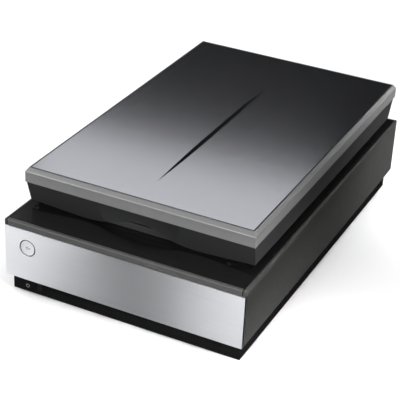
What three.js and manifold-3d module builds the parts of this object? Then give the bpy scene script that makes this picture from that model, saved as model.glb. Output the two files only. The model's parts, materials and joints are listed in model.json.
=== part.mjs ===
// Flatbed scanner with a film-scanning lid, in millimetres, +Z up.
// Origin: centre of the footprint, on the surface that the feet stand on.
// X runs across the width, -Y is the front with the start button, +Y is the hinge side.
import * as THREE from 'three';
import { mergeVertices } from 'three/addons/utils/BufferGeometryUtils.js';
import { ConvexGeometry } from 'three/addons/geometries/ConvexGeometry.js';
import Module from 'manifold-3d';

const wasm = await Module();
wasm.setup();

// ---------- document glass ----------
const GLASS_WIDTH = 226;
const GLASS_LENGTH = 307;
const GLASS_THICKNESS = 3;
const GLASS_LEDGE = 3;
const GLASS_FRONT_MARGIN = 93;
const GLASS_REAR_MARGIN = 103;
const STRIP_WIDTH = 14;

// ---------- overall sizes ----------
// The depth follows the glass, because the carriage parks behind it.
const WIDTH = 308;
const DEPTH = GLASS_FRONT_MARGIN + GLASS_LENGTH + GLASS_REAR_MARGIN;
const HEIGHT = 152;
const GAP = 0.3;
const WALL = 2.5;

// ---------- base levels and setbacks ----------
const FOOT_HEIGHT = 2;
const TRAY_TOP = 23.5;
const PANEL_TOP = 90.8;
const DECK_TOP = 99.7;
const PLINTH_SIDE_SETBACK = 4.9;
const PLINTH_FRONT_SETBACK = 7.9;
const PLINTH_REAR_SETBACK = 12;
const HINGE_STICK_OUT = 7;
const FRONT_PANEL_THICKNESS = 3;
const FRONT_RETURN_DEPTH = 5.4;
const SIDE_PANEL_THICKNESS = 3;
const SIDE_SEAM = 0.9;
const DECK_THICKNESS = 4.5;
const DECK_SKIRT = 9;
const TRIM_DEPTH = 4;
const EDGE_BEVEL = 1.2;

// ---------- lid ----------
const LID_SIDE_SETBACK = 6.6;
const LID_FRONT_SETBACK = 34.25;
const LID_REAR_SETBACK = 8;
const LID_FRAME_BOTTOM = 133.4;
const LID_CHAMFER_HEIGHT = 5;
const LID_CHAMFER_INSET = 3.6;
const LID_PLATE_THICKNESS = 3;
const LID_PLATE_SEAM = 0.9;
const LID_FRAME_WALL = 9;
const SHELL_STEP_FRONT = 2;
const SHELL_STEP_SIDE = 0.8;
const SHELL_STEP_REAR = 5.5;
const SHELL_TAPER_FRONT = 8;
const SHELL_TAPER_SIDE = 1.8;
const SHELL_TAPER_REAR = 10;
const SHELL_SIDE_BOTTOM = 106.5;
const SHELL_FRONT_WALL = 7;
const SHELL_DECK_GAP = 1.5;
const SHELL_CORNER_SWEEP = 30;
const SCOOP_HALF_WIDTH = 42;
const SCOOP_RISE = 8;
const SCOOP_DIP = 4.2;
const SCOOP_DEPTH = 3.2;
const SKIRT_MARGIN = 8;
const GROOVE_HALF_LENGTH = 166.5;
const GROOVE_HALF_WIDTH = 3.2;
const GROOVE_DEPTH = 2.2;
const GROOVE_FLOOR_SHARE = 0.97;
const GROOVE_FRONT_MARGIN = 54;
const MAT_THICKNESS = 4;
const MAT_TRAVEL = 8;
const WINDOW_THICKNESS = 2;

// ---------- hinges ----------
const HINGE_X = 105;
const HINGE_AXIS_Z = 112;
const HINGE_AXIS_INSET = 13.5;
const HINGE_PIN_RADIUS = 2.5;
const HINGE_KNUCKLE_RADIUS = 5.5;
const POST_WIDTH = 22;
const POST_THICKNESS = 9;
const POST_DEPTH_IN_SOCKET = 48;
const POST_END_CLEARANCE = 6;
const SOCKET_WALL = 3;
const HINGE_EAR_THICKNESS = 4;

// ---------- scanning carriage and its drive ----------
const CARRIAGE_LENGTH = 90;
const CARRIAGE_BOTTOM = 36;
const CARRIAGE_TOP = 84;
const CARRIAGE_HALF_WIDTH = 113;
const HOME_OVERRUN = 17;
const ROD_RADIUS = 4;
const ROD_X_INSET = 26;
const ROD_Z = 48;
const RAIL_WIDTH = 10;
const RAIL_TOP = 37;
const BUSH_WALL = 3;
const BUSH_LENGTH = 14;
const BRACKET_THICKNESS = 8;
const BELT_THICKNESS = 1.4;
const BELT_HEIGHT = 5;
const PULLEY_RADIUS = 6;
const GEAR_MODULE = 1.5;
const GEAR_TEETH = 30;
const PINION_TEETH = 10;
const GEAR_THICKNESS = 5;
const GEAR_BOTTOM = 19.5;
const MOTOR_RADIUS = 17.5;
const GEAR_ADDENDUM = 0.8;
const GEAR_DEDENDUM = 1.1;
const SHAFT_RADIUS = 2;
const IDLER_EAR_REACH = 16;

// ---------- controls and connectors ----------
const START_BUTTON_RADIUS = 10.3;
const START_BUTTON_INSET = 30.5;
const START_BUTTON_Z = 67.6;
const POWER_BUTTON_WIDTH = 7;
const POWER_BUTTON_HEIGHT = 8;
const POWER_BUTTON_INSET = 41;
const POWER_BUTTON_Z = 12.5;
const BUTTON_CLEARANCE = 0.5;
const BOARD_THICKNESS = 1.6;
const SOCKET_FACE_RECESS = 0.4;
const SOCKET_DEPTH = 16;
const SOCKET_BACK_WALL = 3;

// ---------- places that follow from the sizes ----------
const halfWidth = WIDTH / 2;
const frontY = -DEPTH / 2;
const rearY = DEPTH / 2;
const caseRearY = rearY - HINGE_STICK_OUT;
const plinthHalf = halfWidth - PLINTH_SIDE_SETBACK;
const plinthFrontY = frontY + PLINTH_FRONT_SETBACK;
const plinthRearY = caseRearY - PLINTH_REAR_SETBACK;
const sideInnerX = halfWidth - SIDE_PANEL_THICKNESS;
const deckHalf = sideInnerX - SIDE_SEAM;
const deckFrontY = frontY + TRIM_DEPTH + GAP;
const deckRearY = caseRearY - WALL - GAP;
const deckBottom = DECK_TOP - DECK_THICKNESS;
const glassFrontY = frontY + GLASS_FRONT_MARGIN;
const glassRearY = glassFrontY + GLASS_LENGTH;
const glassY = (glassFrontY + glassRearY) / 2;
const glassTop = DECK_TOP - GAP;
const lidHalf = halfWidth - LID_SIDE_SETBACK;
const lidFrontY = frontY + LID_FRONT_SETBACK;
const lidRearY = rearY - LID_REAR_SETBACK;
const shellTop = LID_FRAME_BOTTOM - GAP;
const shellBottom = DECK_TOP + SHELL_DECK_GAP;
const hingeAxisY = rearY - HINGE_AXIS_INSET;
const postFrontY = hingeAxisY - POST_THICKNESS / 2;
const postRearY = hingeAxisY + POST_THICKNESS / 2;
const postSlotHalf = POST_WIDTH / 2 + GAP;
const postBottom = DECK_TOP - POST_DEPTH_IN_SOCKET;
const socketBottom = postBottom - POST_END_CLEARANCE;
const socketOuterHalf = postSlotHalf + SOCKET_WALL;
const rodX = -halfWidth + ROD_X_INSET;
const railX = -rodX;
const carriageHomeY = glassRearY + HOME_OVERRUN;
const gearX = rodX + ROD_RADIUS + PULLEY_RADIUS + 1;
const gearOuterRadius = GEAR_MODULE * (GEAR_TEETH / 2 + GEAR_ADDENDUM);
const gearY = plinthRearY - WALL - BRACKET_THICKNESS - gearOuterRadius - 2;
const pinionX = gearX + GEAR_MODULE * (GEAR_TEETH + PINION_TEETH) / 2;
const rodFrontY = plinthFrontY + WALL + 8;
const rodRearY = plinthRearY - WALL - GAP;
const idlerY = rodFrontY + BRACKET_THICKNESS + 2 * PULLEY_RADIUS + 1;
const pulleyBottom = GEAR_BOTTOM + GEAR_THICKNESS + 0.6;
const beltBottom = pulleyBottom + 0.8;
const startButtonX = -halfWidth + START_BUTTON_INSET;
const powerButtonX = -halfWidth + POWER_BUTTON_INSET;
const socketFaceY = caseRearY - SOCKET_FACE_RECESS;
const mainBoardY = socketFaceY - SOCKET_DEPTH - GAP - BOARD_THICKNESS;
const trayFloorTop = FOOT_HEIGHT + WALL;

// ---------- materials ----------
const MATERIALS = {
  lid_plate: { color: 0x6c6e74, roughness: 0.38, metalness: 0.75 },
  lid_grey: { color: 0x6a6a68, roughness: 0.42, metalness: 0.5 },
  silver: { color: 0xc9ccd2, roughness: 0.32, metalness: 0.9 },
  side_grey: { color: 0x4c4d47, roughness: 0.4, metalness: 0.55 },
  trim_grey: { color: 0x5f605e, roughness: 0.45, metalness: 0.2 },
  black: { color: 0x17171a, roughness: 0.4, metalness: 0.0 },
  inner_black: { color: 0x101012, roughness: 0.7, metalness: 0.0 },
  rubber: { color: 0x1c1c1c, roughness: 0.9, metalness: 0.0 },
  steel: { color: 0xb8babd, roughness: 0.3, metalness: 1.0 },
  glass: { color: 0xdfe8e6, roughness: 0.05, metalness: 0.0 },
  mirror: { color: 0xf0f2f4, roughness: 0.02, metalness: 1.0 },
  white: { color: 0xf2f2ee, roughness: 0.8, metalness: 0.0 },
  gear_nylon: { color: 0xe6e2d4, roughness: 0.55, metalness: 0.0 },
  board_green: { color: 0x1e5a3a, roughness: 0.5, metalness: 0.1 },
  cable_grey: { color: 0xb9bdc2, roughness: 0.5, metalness: 0.0 },
};

// ---------- shapes ----------
const box = (x0, x1, y0, y1, z0, z1) => {
  const geometry = new THREE.BoxGeometry(x1 - x0, y1 - y0, z1 - z0);
  return geometry.translate((x0 + x1) / 2, (y0 + y1) / 2, (z0 + z1) / 2);
};

const cylinderZ = (radius, x, y, z0, z1, sides = 24) => {
  const geometry = new THREE.CylinderGeometry(radius, radius, z1 - z0, sides);
  return geometry.rotateX(Math.PI / 2).translate(x, y, (z0 + z1) / 2);
};

const cylinderY = (radius, x, z, y0, y1, sides = 24) => {
  const geometry = new THREE.CylinderGeometry(radius, radius, y1 - y0, sides);
  return geometry.translate(x, (y0 + y1) / 2, z);
};

const cylinderX = (radius, y, z, x0, x1, sides = 24) => {
  const geometry = new THREE.CylinderGeometry(radius, radius, x1 - x0, sides);
  return geometry.rotateZ(Math.PI / 2).translate((x0 + x1) / 2, y, z);
};

const outline = (points) => new THREE.Shape(points.map(([a, b]) => new THREE.Vector2(a, b)));

const extrude = (points, depth) => (
  new THREE.ExtrudeGeometry(outline(points), { depth, bevelEnabled: false })
);

// A prism with its outline in X and Y, standing from z0 to z1.
const prismZ = (points, z0, z1) => extrude(points, z1 - z0).translate(0, 0, z0);

// A prism with its outline in X and Z, running from y0 to y1.
const prismY = (points, y0, y1) => extrude(points, y1 - y0).rotateX(Math.PI / 2).translate(0, y1, 0);

// A prism with its outline in Y and Z, running from x0 to x1.
const prismX = (points, x0, x1) => {
  const turn = new THREE.Matrix4().makeBasis(
    new THREE.Vector3(0, 1, 0), new THREE.Vector3(0, 0, 1), new THREE.Vector3(1, 0, 0));
  return extrude(points, x1 - x0).applyMatrix4(turn).translate(x0, 0, 0);
};

// The convex block between two rectangles, given as [x half, y front, y rear, z].
const taperedBlock = (lower, upper) => {
  const corners = [lower, upper].flatMap(([half, front, rear, z]) => [
    new THREE.Vector3(-half, front, z),
    new THREE.Vector3(half, front, z),
    new THREE.Vector3(half, rear, z),
    new THREE.Vector3(-half, rear, z),
  ]);
  return new ConvexGeometry(corners);
};

// ---------- cutting and joining ----------
const toSolid = (geometry) => {
  const plain = geometry.index ? geometry.toNonIndexed() : geometry.clone();
  plain.deleteAttribute('normal');
  plain.deleteAttribute('uv');
  const merged = mergeVertices(plain, 1e-4);
  const mesh = new wasm.Mesh({
    numProp: 3,
    vertProperties: new Float32Array(merged.attributes.position.array),
    triVerts: new Uint32Array(merged.index.array),
  });
  return new wasm.Manifold(mesh);
};

const toGeometry = (solid) => {
  const mesh = solid.getMesh();
  const geometry = new THREE.BufferGeometry();
  geometry.setAttribute('position', new THREE.BufferAttribute(mesh.vertProperties, 3));
  geometry.setIndex(new THREE.BufferAttribute(mesh.triVerts, 1));
  geometry.computeVertexNormals();
  return geometry;
};

const join = (...shapes) => (
  toGeometry(shapes.map(toSolid).reduce((whole, shape) => whole.add(shape)))
);

const cut = (shape, ...cutters) => (
  toGeometry(cutters.map(toSolid).reduce((whole, cutter) => whole.subtract(cutter), toSolid(shape)))
);

const scanner = new THREE.Group();

const addPart = (name, material, geometry) => {
  const mesh = new THREE.Mesh(geometry, new THREE.MeshStandardMaterial(MATERIALS[material]));
  mesh.name = name;
  scanner.add(mesh);
};

// ---------- base: tray, feet and outer panels ----------
function lowerCase() {
  const outer = box(-plinthHalf, plinthHalf, plinthFrontY, plinthRearY, FOOT_HEIGHT, TRAY_TOP);
  const hollow = box(-plinthHalf + WALL, plinthHalf - WALL, plinthFrontY + WALL,
    plinthRearY - WALL, trayFloorTop, TRAY_TOP + 1);
  const buttonHalf = POWER_BUTTON_WIDTH / 2 + BUTTON_CLEARANCE;
  const buttonHole = box(powerButtonX - buttonHalf, powerButtonX + buttonHalf,
    plinthFrontY - 1, plinthFrontY + WALL + 1,
    POWER_BUTTON_Z - POWER_BUTTON_HEIGHT / 2 - BUTTON_CLEARANCE,
    POWER_BUTTON_Z + POWER_BUTTON_HEIGHT / 2 + BUTTON_CLEARANCE);
  const tray = cut(outer, hollow, buttonHole);
  addPart('lower_case', 'black', tray);
}

function feet() {
  const footRadius = 8;
  const footInset = 22;
  for (const [side, sideName] of [[-1, 'left'], [1, 'right']]) {
    for (const [y, endName] of [[plinthFrontY + footInset, 'front'], [plinthRearY - footInset, 'rear']]) {
      const foot = cylinderZ(footRadius, side * (plinthHalf - footInset), y, 0, FOOT_HEIGHT - GAP);
      addPart(`foot_${endName}_${sideName}`, 'rubber', foot);
    }
  }
}

// Each side panel runs the full depth and steps back below the trim to clear the silver return.
function sidePanels() {
  const stepY = frontY + FRONT_RETURN_DEPTH + GAP;
  const stepZ = PANEL_TOP + GAP;
  const side = [
    [caseRearY, TRAY_TOP + GAP],
    [caseRearY, DECK_TOP],
    [frontY, DECK_TOP],
    [frontY, stepZ],
    [stepY, stepZ],
    [stepY, TRAY_TOP + GAP],
  ];
  for (const [sign, name] of [[-1, 'left'], [1, 'right']]) {
    const inner = sign * sideInnerX;
    const outer = sign * halfWidth;
    const panel = prismX(side, Math.min(inner, outer), Math.max(inner, outer));
    const bevel = prismY([
      [outer + sign, DECK_TOP - EDGE_BEVEL - 1],
      [outer + sign, DECK_TOP + 1],
      [outer - sign * (EDGE_BEVEL + 1), DECK_TOP + 1],
    ], frontY - 1, rearY);
    addPart(`side_panel_${name}`, 'side_grey', cut(panel, bevel));
  }
}

function frontPanel() {
  const plate = box(-halfWidth, halfWidth, frontY, frontY + FRONT_PANEL_THICKNESS,
    TRAY_TOP + GAP, PANEL_TOP);
  const returns = [-1, 1].map((sign) => {
    const inner = sign * sideInnerX;
    const outer = sign * halfWidth;
    return box(Math.min(inner, outer), Math.max(inner, outer), frontY + 1,
      frontY + FRONT_RETURN_DEPTH, TRAY_TOP + GAP, PANEL_TOP);
  });
  const buttonHole = cylinderY(START_BUTTON_RADIUS + BUTTON_CLEARANCE, startButtonX,
    START_BUTTON_Z, frontY - 1, frontY + FRONT_PANEL_THICKNESS + 1, 40);
  addPart('front_panel', 'silver', cut(join(plate, ...returns), buttonHole));
}

// Connectors on the rear, each with its centre, its outer size and the width and height of its mouth.
const CONNECTORS = [
  { name: 'usb_socket', material: 'steel', x: 62, z: 36, width: 12, height: 11, mouth: [8.6, 8.2] },
  { name: 'dc_inlet', material: 'black', x: 104, z: 36, width: 14, height: 14, mouth: [9, 9] },
  { name: 'option_socket', material: 'steel', x: 24, z: 36, width: 19, height: 9, mouth: [15, 5.6] },
];
const LOCK_X = -62;
const LOCK_Z = 40;
const LOCK_TRAVEL = 10;
const LOCK_KNOB_WIDTH = 9;
const LOCK_KNOB_HEIGHT = 8;

function rearPanel() {
  const socketHalf = socketOuterHalf + GAP;
  const panel = box(-sideInnerX + GAP, sideInnerX - GAP, caseRearY - WALL, caseRearY,
    TRAY_TOP + GAP, DECK_TOP - GAP);
  const cuts = CONNECTORS.map(({ x, z, width, height }) => box(
    x - width / 2 - GAP, x + width / 2 + GAP, caseRearY - WALL - 1, caseRearY + 1,
    z - height / 2 - GAP, z + height / 2 + GAP));
  const lockSlot = box(LOCK_X - LOCK_KNOB_WIDTH / 2 - GAP,
    LOCK_X + LOCK_KNOB_WIDTH / 2 + LOCK_TRAVEL + GAP, caseRearY - WALL - 1, caseRearY + 1,
    LOCK_Z - LOCK_KNOB_HEIGHT / 2 - GAP, LOCK_Z + LOCK_KNOB_HEIGHT / 2 + GAP);
  const hingeNotches = [-HINGE_X, HINGE_X].map((x) => box(x - socketHalf, x + socketHalf,
    caseRearY - WALL - 1, caseRearY + 1, socketBottom - GAP, DECK_TOP));
  const ventLeft = -20;
  const ventRight = 60;
  const ventBottom = 60;
  const ventHeight = 3;
  const ventPitch = 2 * ventHeight;
  const vents = [0, 1, 2, 3].map((row) => box(ventLeft, ventRight, caseRearY - WALL - 1, caseRearY + 1,
    ventBottom + row * ventPitch, ventBottom + row * ventPitch + ventHeight));
  addPart('rear_panel', 'inner_black', cut(panel, lockSlot, ...cuts, ...hingeNotches, ...vents));
}

// ---------- deck with the document glass ----------
function deck() {
  const plate = box(-deckHalf, deckHalf, deckFrontY, deckRearY, deckBottom - DECK_SKIRT, DECK_TOP);
  const hollow = box(-deckHalf + WALL, deckHalf - WALL, deckFrontY + WALL, deckRearY - WALL,
    deckBottom - DECK_SKIRT - 1, deckBottom);
  const ledgeHalf = GLASS_WIDTH / 2 - GLASS_LEDGE;
  const aperture = box(-ledgeHalf, ledgeHalf, glassFrontY + GLASS_LEDGE, glassRearY - GLASS_LEDGE,
    deckBottom - 1, DECK_TOP + 1);
  const rebate = box(-GLASS_WIDTH / 2 - GAP, GLASS_WIDTH / 2 + GAP, glassFrontY - GAP,
    glassRearY + GAP, glassTop - GLASS_THICKNESS - GAP, DECK_TOP + 1);
  const socketNotches = [-HINGE_X, HINGE_X].map((x) => box(x - socketOuterHalf - GAP,
    x + socketOuterHalf + GAP, postFrontY - SOCKET_WALL - 2 * GAP, deckRearY + 1,
    deckBottom - DECK_SKIRT - 1, DECK_TOP + 1));
  addPart('deck', 'black', cut(plate, hollow, aperture, rebate, ...socketNotches));
}

function deckTrim() {
  const round = 2.2;
  const steps = 5;
  const profile = [[frontY + TRIM_DEPTH, PANEL_TOP + GAP], [frontY + TRIM_DEPTH, DECK_TOP]];
  for (let step = 0; step <= steps; step += 1) {
    const angle = (step / steps) * Math.PI / 2;
    profile.push([frontY + round - round * Math.sin(angle), DECK_TOP - round + round * Math.cos(angle)]);
  }
  profile.push([frontY, PANEL_TOP + GAP]);
  addPart('deck_front_trim', 'trim_grey', prismX(profile, -deckHalf, deckHalf));
}

// The pane drops onto the deck's ledge and lies just below the deck's surface.
function documentGlass() {
  addPart('document_glass', 'glass', box(-GLASS_WIDTH / 2, GLASS_WIDTH / 2, glassFrontY, glassRearY,
    glassTop - GLASS_THICKNESS, glassTop));
}

function calibrationStrip() {
  const half = GLASS_WIDTH / 2 - GLASS_LEDGE - 1;
  const top = glassTop - GLASS_THICKNESS - GAP;
  const thickness = 0.8;
  const strip = box(-half, half, glassRearY - GLASS_LEDGE - STRIP_WIDTH,
    glassRearY - GLASS_LEDGE - 1, top - thickness, top);
  addPart('calibration_strip', 'white', strip);
}

// ---------- connectors and boards ----------
function connectors() {
  for (const { name, material, x, z, width, height, mouth } of CONNECTORS) {
    const body = box(x - width / 2, x + width / 2, socketFaceY - SOCKET_DEPTH, socketFaceY,
      z - height / 2, z + height / 2);
    const [mouthWidth, mouthHeight] = mouth;
    const opening = box(x - mouthWidth / 2, x + mouthWidth / 2,
      socketFaceY - SOCKET_DEPTH + SOCKET_BACK_WALL,
      socketFaceY + 1, z - mouthHeight / 2, z + mouthHeight / 2);
    addPart(name, material, cut(body, opening));
  }
}

function boards() {
  const mainLeftX = 5;
  const mainWidth = 120;
  const mainBottom = 28;
  const boardTop = 84;
  const chipX = 62;
  const chipZ = 64;
  const chipHalf = 12;
  const chipHeight = 2;
  const main = box(mainLeftX, mainLeftX + mainWidth, mainBoardY, mainBoardY + BOARD_THICKNESS,
    mainBottom, boardTop);
  const chip = box(chipX - chipHalf, chipX + chipHalf, mainBoardY - chipHeight,
    mainBoardY + BOARD_THICKNESS / 2, chipZ - chipHalf, chipZ + chipHalf);
  addPart('main_board', 'board_green', join(main, chip));
  const switchDepth = 4.3;
  const switchFrontY = frontY + 10;
  const switchHalf = 4;
  const boardY = switchFrontY + switchDepth;
  const boardLeft = 12;
  const boardRight = 22;
  const board = box(startButtonX - boardLeft, startButtonX + boardRight, boardY,
    boardY + BOARD_THICKNESS, trayFloorTop + GAP, boardTop);
  const startSwitch = box(startButtonX - switchHalf, startButtonX + switchHalf, switchFrontY,
    boardY + BOARD_THICKNESS / 2, START_BUTTON_Z - switchHalf, START_BUTTON_Z + switchHalf);
  addPart('button_board', 'board_green', join(board, startSwitch));
}

function flatCable() {
  const x = 62;
  const halfBand = 7;
  const thickness = 0.6;
  const bend = 14;
  const low = trayFloorTop + 0.5;
  const steps = 8;
  const boardGap = 3;
  const rearEnd = mainBoardY - boardGap;
  const foldY = glassY;
  const outer = [[rearEnd, low]];
  const inner = [];
  for (let step = 0; step <= steps; step += 1) {
    const angle = -Math.PI / 2 - (step / steps) * Math.PI;
    outer.push([foldY + bend * Math.cos(angle), low + bend + bend * Math.sin(angle)]);
    inner.unshift([
      foldY + (bend - thickness) * Math.cos(angle),
      low + bend + (bend - thickness) * Math.sin(angle),
    ]);
  }
  const upperEnd = carriageHomeY + CARRIAGE_LENGTH / 4;
  outer.push([upperEnd, low + 2 * bend]);
  outer.push([upperEnd, low + 2 * bend - thickness]);
  inner.push([rearEnd, low + thickness]);
  addPart('flat_cable', 'cable_grey', prismX([...outer, ...inner], x - halfBand, x + halfBand));
}

// ---------- buttons and the transport lock ----------
function buttons() {
  const capDepth = 4;
  const stemRadius = 3;
  const stemLength = 3.8;
  const startCap = cylinderY(START_BUTTON_RADIUS, startButtonX, START_BUTTON_Z,
    frontY, frontY + capDepth, 40);
  const stem = cylinderY(stemRadius, startButtonX, START_BUTTON_Z, frontY + 1,
    frontY + capDepth + stemLength, 12);
  addPart('start_button', 'silver', join(startCap, stem));
  const powerCap = box(powerButtonX - POWER_BUTTON_WIDTH / 2, powerButtonX + POWER_BUTTON_WIDTH / 2,
    plinthFrontY, plinthFrontY + capDepth, POWER_BUTTON_Z - POWER_BUTTON_HEIGHT / 2,
    POWER_BUTTON_Z + POWER_BUTTON_HEIGHT / 2);
  addPart('power_button', 'black', powerCap);
}

function transportLock() {
  const plateRearY = caseRearY - WALL - GAP;
  const plateHalfWidth = 12;
  const plateHalfHeight = 8;
  const plateThickness = 2;
  const plate = box(LOCK_X - plateHalfWidth, LOCK_X + plateHalfWidth, plateRearY - plateThickness,
    plateRearY, LOCK_Z - plateHalfHeight, LOCK_Z + plateHalfHeight);
  const knob = box(LOCK_X - LOCK_KNOB_WIDTH / 2, LOCK_X + LOCK_KNOB_WIDTH / 2,
    plateRearY - plateThickness / 2,
    caseRearY - GAP, LOCK_Z - LOCK_KNOB_HEIGHT / 2, LOCK_Z + LOCK_KNOB_HEIGHT / 2);
  addPart('transport_lock', 'trim_grey', join(plate, knob));
}

// ---------- guide rod, rail, motor, gears and belt ----------
function railsAndRod() {
  const bracketHalf = 10;
  addPart('guide_rod', 'steel', cylinderY(ROD_RADIUS, rodX, ROD_Z, rodFrontY, rodRearY));
  const bracketYs = { front: rodFrontY + 1, rear: rodRearY - BRACKET_THICKNESS };
  for (const [name, y] of Object.entries(bracketYs)) {
    const block = box(rodX - bracketHalf, rodX + bracketHalf, y, y + BRACKET_THICKNESS,
      trayFloorTop + GAP, ROD_Z + bracketHalf);
    const bore = cylinderY(ROD_RADIUS + GAP, rodX, ROD_Z, y - 1, y + BRACKET_THICKNESS + 1);
    addPart(`rod_bracket_${name}`, 'inner_black', cut(block, bore));
  }
  const half = RAIL_WIDTH / 2;
  const web = 1.5;
  const flange = 3;
  const flangeBottom = RAIL_TOP - flange;
  const footTop = trayFloorTop + flange;
  const boardGap = 6;
  const section = [
    [railX - half, trayFloorTop + GAP], [railX + half, trayFloorTop + GAP],
    [railX + half, footTop], [railX + web, footTop],
    [railX + web, flangeBottom], [railX + half, flangeBottom],
    [railX + half, RAIL_TOP], [railX - half, RAIL_TOP],
    [railX - half, flangeBottom], [railX - web, flangeBottom],
    [railX - web, footTop], [railX - half, footTop],
  ];
  addPart('slide_rail', 'steel', prismY(section, rodFrontY, mainBoardY - boardGap));
}

// A spur gear outline with slightly thin teeth, so that a pair runs with backlash.
function gearOutline(teeth, x, y, phase) {
  const pitchRadius = GEAR_MODULE * teeth / 2;
  const tip = pitchRadius + GEAR_ADDENDUM * GEAR_MODULE;
  const root = pitchRadius - GEAR_DEDENDUM * GEAR_MODULE;
  const pitch = 2 * Math.PI / teeth;
  const rootShare = 0.3;
  const tipShare = 0.11;
  const flanks = [[root, -rootShare], [tip, -tipShare], [tip, tipShare], [root, rootShare]];
  const points = [];
  for (let tooth = 0; tooth < teeth; tooth += 1) {
    for (const [radius, share] of flanks) {
      const angle = phase + (tooth + share) * pitch;
      points.push([x + radius * Math.cos(angle), y + radius * Math.sin(angle)]);
    }
  }
  return points;
}

function gearTrain() {
  const gearTop = GEAR_BOTTOM + GEAR_THICKNESS;
  const pulleyTop = beltBottom + BELT_HEIGHT + 0.8;
  const motorTop = GEAR_BOTTOM - GAP;
  const shaftSink = 5;
  const motor = cylinderZ(MOTOR_RADIUS, pinionX, gearY, trayFloorTop + GAP, motorTop, 32);
  const motorBore = cylinderZ(SHAFT_RADIUS + GAP, pinionX, gearY, motorTop - shaftSink - GAP, motorTop + 1);
  addPart('motor', 'steel', cut(motor, motorBore));
  const pinion = prismZ(gearOutline(PINION_TEETH, pinionX, gearY, Math.PI / PINION_TEETH + Math.PI),
    GEAR_BOTTOM, gearTop);
  const pinionShaft = cylinderZ(SHAFT_RADIUS, pinionX, gearY, motorTop - shaftSink, gearTop + 1);
  addPart('motor_pinion', 'steel', join(pinion, pinionShaft));
  const wheel = prismZ(gearOutline(GEAR_TEETH, gearX, gearY, 0), GEAR_BOTTOM, gearTop);
  const hub = cylinderZ(PULLEY_RADIUS, gearX, gearY, GEAR_BOTTOM + 1, pulleyTop);
  const gearBore = cylinderZ(SHAFT_RADIUS + GAP, gearX, gearY, GEAR_BOTTOM - 1, pulleyTop + 1);
  addPart('drive_gear', 'gear_nylon', cut(join(wheel, hub), gearBore));
  const shaft = cylinderZ(SHAFT_RADIUS, gearX, gearY, trayFloorTop + 1, pulleyTop + 1);
  const shaftFoot = cylinderZ(3 * SHAFT_RADIUS, gearX, gearY, trayFloorTop + GAP, GEAR_BOTTOM - 1);
  addPart('gear_shaft', 'steel', join(shaft, shaftFoot));
  const idler = cylinderZ(PULLEY_RADIUS, gearX, idlerY, pulleyBottom, pulleyTop);
  const idlerBore = cylinderZ(SHAFT_RADIUS + GAP, gearX, idlerY, pulleyBottom - 1, pulleyTop + 1);
  addPart('idler_pulley', 'gear_nylon', cut(idler, idlerBore));
  idlerBracket(pulleyTop);
}

// A foot on the tray floor carries the idler's boss and pin, and its ear holds the tension spring.
function idlerBracket(pulleyTop) {
  const footHalf = 12;
  const footFront = 10;
  const footThickness = 3;
  const bossRadius = 5;
  const earHalf = 3;
  const earThickness = 3;
  const earHeight = 12;
  const sunkBottom = trayFloorTop + 1;
  const foot = box(gearX - footHalf, gearX + footHalf, idlerY - footFront, idlerY + IDLER_EAR_REACH,
    trayFloorTop + GAP, trayFloorTop + footThickness);
  const boss = cylinderZ(bossRadius, gearX, idlerY, sunkBottom, pulleyBottom - GAP);
  const pin = cylinderZ(SHAFT_RADIUS, gearX, idlerY, sunkBottom, pulleyTop + 1);
  const ear = box(gearX - earHalf, gearX + earHalf, idlerY + IDLER_EAR_REACH - earThickness,
    idlerY + IDLER_EAR_REACH, sunkBottom, trayFloorTop + earHeight);
  addPart('idler_bracket', 'steel', join(foot, boss, pin, ear));
}

function racetrack(radius, yLow, yHigh) {
  const steps = 12;
  const points = [];
  for (let step = 0; step <= steps; step += 1) {
    const angle = (step / steps) * Math.PI;
    points.push([gearX + radius * Math.cos(angle), yHigh + radius * Math.sin(angle)]);
  }
  for (let step = 0; step <= steps; step += 1) {
    const angle = Math.PI + (step / steps) * Math.PI;
    points.push([gearX + radius * Math.cos(angle), yLow + radius * Math.sin(angle)]);
  }
  return points;
}

function driveBelt() {
  const inner = PULLEY_RADIUS + GAP;
  const beltTop = beltBottom + BELT_HEIGHT;
  const outerBelt = prismZ(racetrack(inner + BELT_THICKNESS, idlerY, gearY), beltBottom, beltTop);
  const innerLoop = prismZ(racetrack(inner, idlerY, gearY), beltBottom - 1, beltTop + 1);
  addPart('drive_belt', 'rubber', cut(outerBelt, innerLoop));
}

function tensionSpring() {
  const turns = 6;
  const coilRadius = 3;
  const length = 16;
  const wireRadius = 0.5;
  const axisLift = 8;
  const startY = idlerY + IDLER_EAR_REACH + GAP;
  const points = [];
  const perTurn = 8;
  for (let step = 0; step <= turns * perTurn; step += 1) {
    const angle = step / perTurn * 2 * Math.PI;
    points.push(new THREE.Vector3(
      gearX + coilRadius * Math.cos(angle),
      startY + wireRadius + length * step / (turns * perTurn),
      trayFloorTop + axisLift + coilRadius * Math.sin(angle)));
  }
  const path = new THREE.CatmullRomCurve3(points);
  const wire = new THREE.Shape();
  wire.absarc(0, 0, wireRadius, 0, 2 * Math.PI);
  const coil = new THREE.ExtrudeGeometry(wire, {
    extrudePath: path, steps: turns * perTurn, curveSegments: 3, bevelEnabled: false,
  });
  addPart('tension_spring', 'steel', coil);
}

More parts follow.
